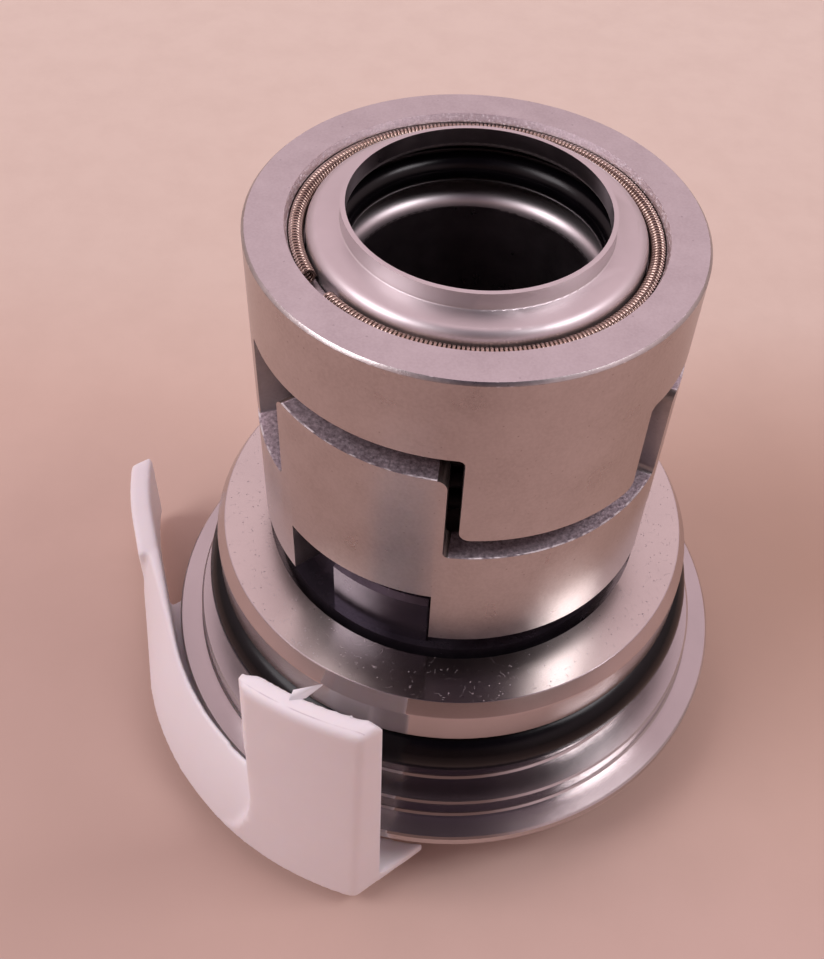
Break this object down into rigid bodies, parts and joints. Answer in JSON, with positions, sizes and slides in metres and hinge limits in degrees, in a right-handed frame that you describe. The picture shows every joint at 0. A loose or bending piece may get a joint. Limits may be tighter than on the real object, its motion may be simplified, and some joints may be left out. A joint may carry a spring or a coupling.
{
  "type": "cartridge mechanical seal",
  "caption": "Cartridge shaft seal: thin sleeve with a lugged driver and carrier ring over a grooved flange, with a moulded assembly clip.",
  "frame": {"origin": "on the seal's axis at the drive collar's bottom face, the mouth of the shaft bore", "axes": "+Z along the shaft axis from the drive collar to the driver; -Y towards the side where the clip's tab ends; +X to the right seen from there"},
  "size_m": [0.0698, 0.0644, 0.0631],
  "materials": {
    "sleeve_steel": "drawn satin stainless steel",
    "cast_steel": "matt sintered stainless steel",
    "turned_steel": "fine turned and polished stainless steel",
    "coil_steel": "fine wound wire, brownish",
    "spring_steel": "drawn wire",
    "black_rubber": "smooth black elastomer",
    "seal_carbide": "dark ground carbide",
    "clip_plastic": "ivory moulded plastic"
  },
  "bodies": {
    "cover": {"cover_flange": "turned_steel", "cover_oring": "black_rubber", "stationary_seat": "seal_carbide", "seat_oring": "black_rubber", "seat_pin": "sleeve_steel"},
    "seal_ring": {"seal_ring": "seal_carbide", "ring_oring": "black_rubber", "backup_ring": "sleeve_steel"},
    "carrier": {"carrier_ring": "cast_steel", "spring": "spring_steel"},
    "washer": {"spring_washer": "sleeve_steel"},
    "rotor": {"shaft_sleeve": "sleeve_steel", "sleeve_oring": "black_rubber", "driver_ring": "cast_steel", "retaining_coil": "coil_steel", "drive_collar": "cast_steel", "set_screw_1": "sleeve_steel", "set_screw_2": "sleeve_steel", "set_screw_3": "sleeve_steel"},
    "clip": {"assembly_clip": "clip_plastic"}
  },
  "joints": [
    {"name": "seal_spin", "type": "hinge", "parent": "cover", "child": "seal_ring", "pos_m": [0, 0, 0.021], "axis": [0, 0, 1], "continuous": true},
    {"name": "carrier_play", "type": "hinge", "parent": "seal_ring", "child": "carrier", "pos_m": [0, 0, 0.03], "axis": [0, 0, 1], "range_deg": [-1, 11]},
    {"name": "spring_travel", "type": "slide", "parent": "carrier", "child": "washer", "axis": [0, 0, 1], "range_m": [-0.0024, 0], "stiffness_N_per_m": 1800, "springref_m": 0.0133, "deforming": ["spring"]},
    {"name": "driver_play", "type": "hinge", "parent": "washer", "child": "rotor", "pos_m": [0, 0, 0.05], "axis": [0, 0, 1], "range_deg": [-3.2, 14.2]},
    {"name": "clip_pull", "type": "slide", "parent": "cover", "child": "clip", "axis": [-0.7547, -0.6561, 0], "range_m": [0, 0.055]}
  ]
}
